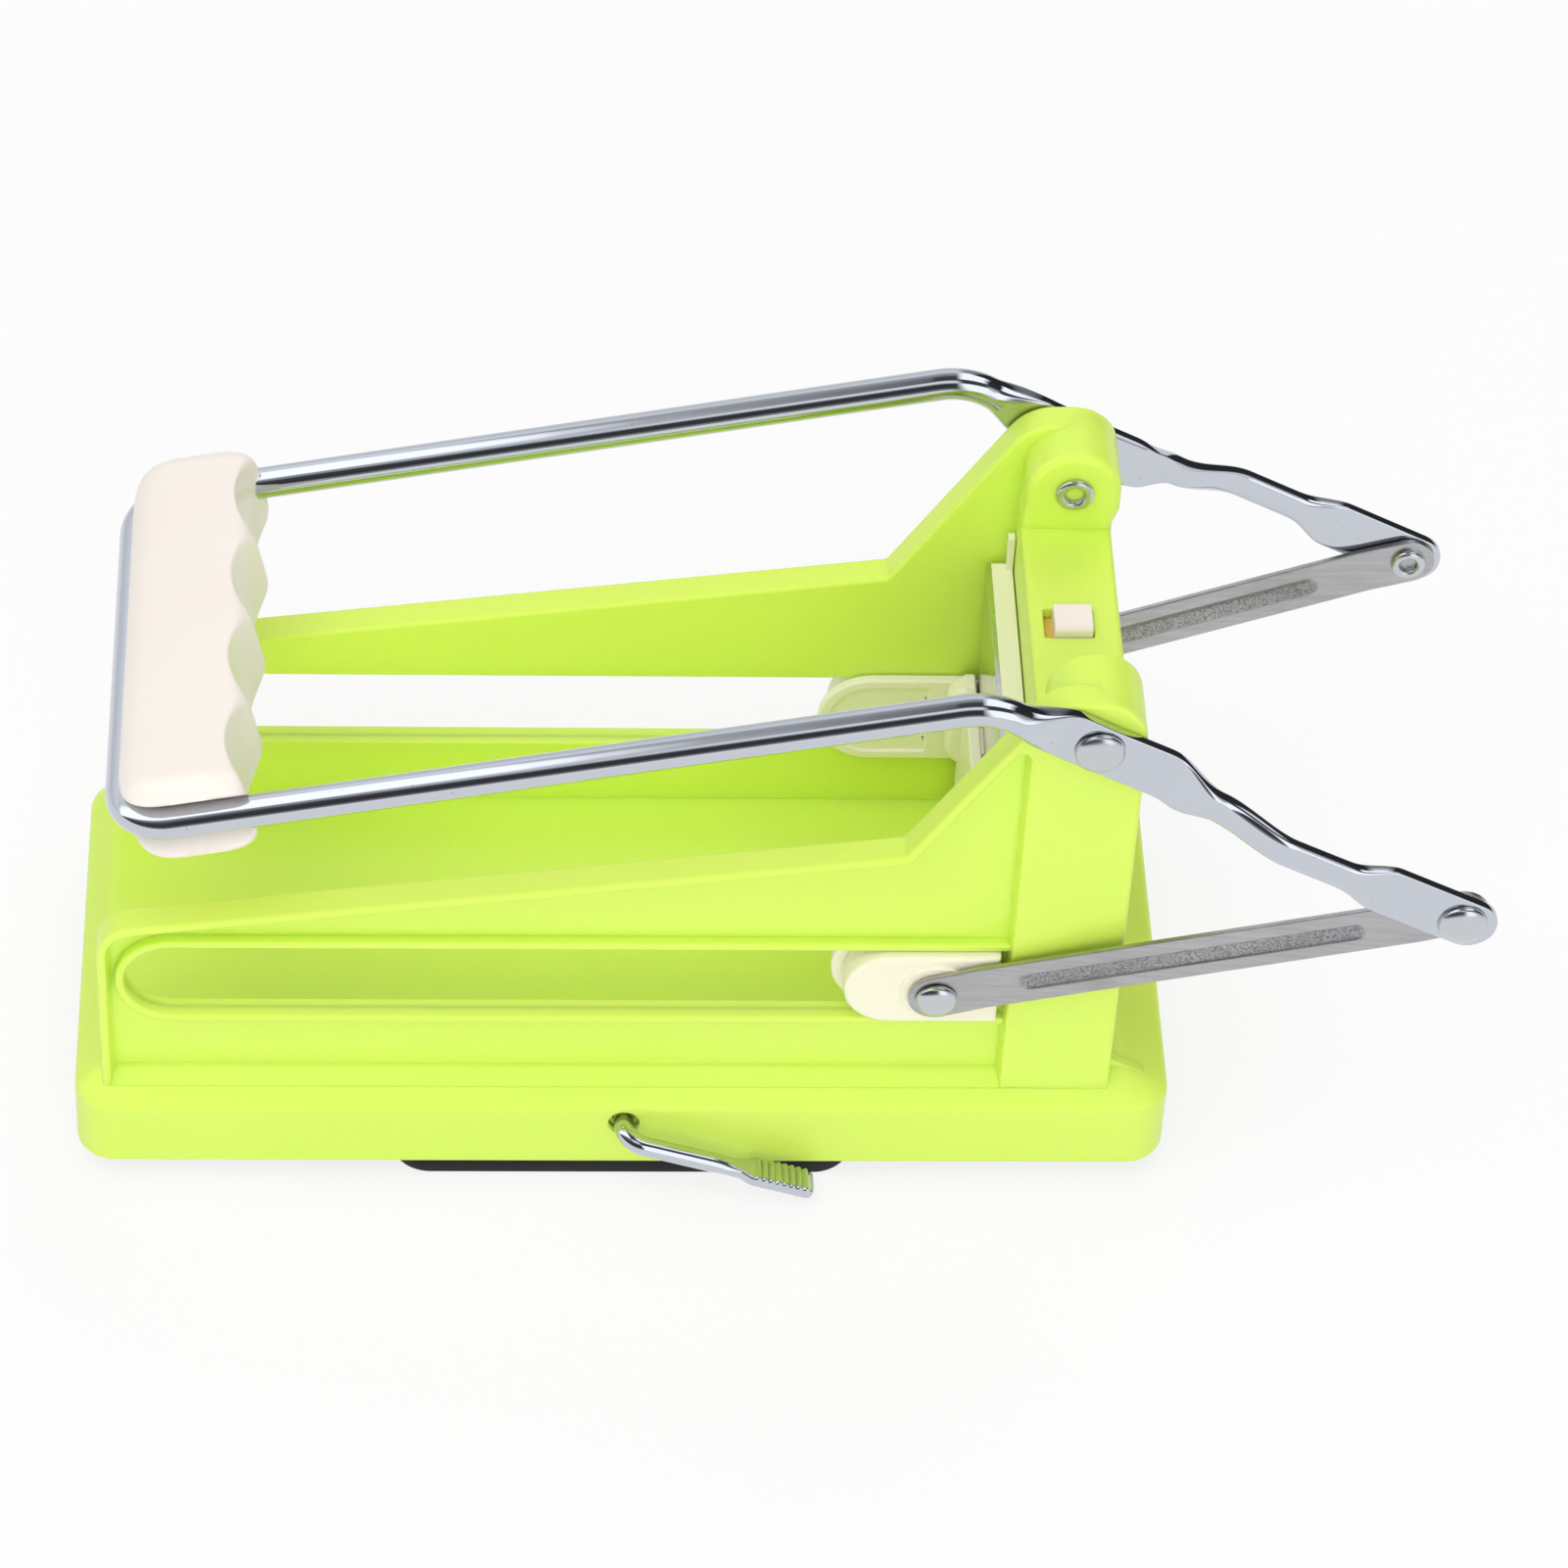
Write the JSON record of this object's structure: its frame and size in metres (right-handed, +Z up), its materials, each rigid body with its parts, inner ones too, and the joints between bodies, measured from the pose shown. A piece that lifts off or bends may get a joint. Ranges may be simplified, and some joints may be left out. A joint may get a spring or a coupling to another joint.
{
  "type": "french fry cutter",
  "caption": "Lever-action potato chipper with a swinging wire handle, linked pusher, blade cassette, slotted tray walls and a suction base.",
  "frame": {"origin": "centre of the suction pad's flat underside, on the standing surface", "axes": "+X along the tray towards the blades and the outlet, +Y across the tray to the side away from the suction lever, +Z up"},
  "size_m": [0.2787, 0.1104, 0.1364],
  "materials": {
    "green_plastic": "moulded plastic, bright lime green, semi gloss",
    "cream_plastic": "moulded plastic, warm off-white, semi gloss",
    "grip_plastic": "moulded plastic, off-white with a faint pink, satin",
    "chrome_wire": "bright plated steel wire",
    "link_steel": "plain stamped steel, dull",
    "blade_steel": "polished thin steel",
    "rivet_steel": "plated rivets and screws",
    "pad_rubber": "soft black rubber",
    "carrier_plastic": "black moulded plastic"
  },
  "bodies": {
    "base": {"base_body": "green_plastic", "suction_pad": "pad_rubber", "pad_carrier": "carrier_plastic", "carrier_screws": "rivet_steel", "blade_cassette": "cream_plastic", "cassette_front_plate": "blade_steel", "front_plate_screws": "rivet_steel", "upright_blades": "blade_steel", "level_blades": "blade_steel", "pivot_rivets": "rivet_steel"},
    "handle": {"handle_wire": "chrome_wire", "handle_grip": "grip_plastic", "link_rivet_heads": "rivet_steel"},
    "pusher": {"pusher_plate": "cream_plastic", "slide_shoe_near": "cream_plastic", "slide_shoe_far": "cream_plastic", "pusher_rivets": "rivet_steel"},
    "near_link": {"link_near": "link_steel", "link_rivet_tail_near": "rivet_steel"},
    "far_link": {"link_far": "link_steel", "link_rivet_tail_far": "rivet_steel"},
    "suction_lever": {"suction_lever": "chrome_wire"},
    "pad_stud": {"pad_stud": "carrier_plastic"},
    "latch": {"latch_button": "grip_plastic"}
  },
  "joints": [
    {"name": "handle_swing", "type": "hinge", "parent": "base", "child": "handle", "pos_m": [0.088, 0, 0.1215], "axis": [0, 1, 0], "range_deg": [0, 106]},
    {"name": "pusher_slide", "type": "slide", "parent": "base", "child": "pusher", "axis": [-1, 0, 0], "range_m": [0, 0.1349]},
    {"name": "near_link_hinge", "type": "hinge", "parent": "pusher", "child": "near_link", "pos_m": [0.0609, -0.045, 0.0517], "axis": [0, 1, 0], "range_deg": [0, 11.6]},
    {"name": "far_link_hinge", "type": "hinge", "parent": "pusher", "child": "far_link", "pos_m": [0.0609, 0.045, 0.0517], "axis": [0, 1, 0], "range_deg": [0, 11.6]},
    {"name": "suction_lever_turn", "type": "hinge", "parent": "base", "child": "suction_lever", "pos_m": [0, -0.0462, 0.0163], "axis": [0, -1, 0], "range_deg": [0, 180]},
    {"name": "pad_stud_lift", "type": "slide", "parent": "base", "child": "pad_stud", "axis": [0, 0, 1], "range_m": [0, 0.0031]},
    {"name": "latch_press", "type": "slide", "parent": "base", "child": "latch", "axis": [0, 0, -1], "range_m": [0, 0.005], "stiffness_N_per_m": 400}
  ],
  "couplings": [
    {"joint": "pusher_slide", "follows": "handle_swing", "m_per_rad": 0.07286},
    {"joint": "near_link_hinge", "follows": "handle_swing", "ratio": 0.10896},
    {"joint": "far_link_hinge", "follows": "handle_swing", "ratio": 0.10896},
    {"joint": "pad_stud_lift", "follows": "suction_lever_turn", "m_per_rad": 0.000955}
  ]
}
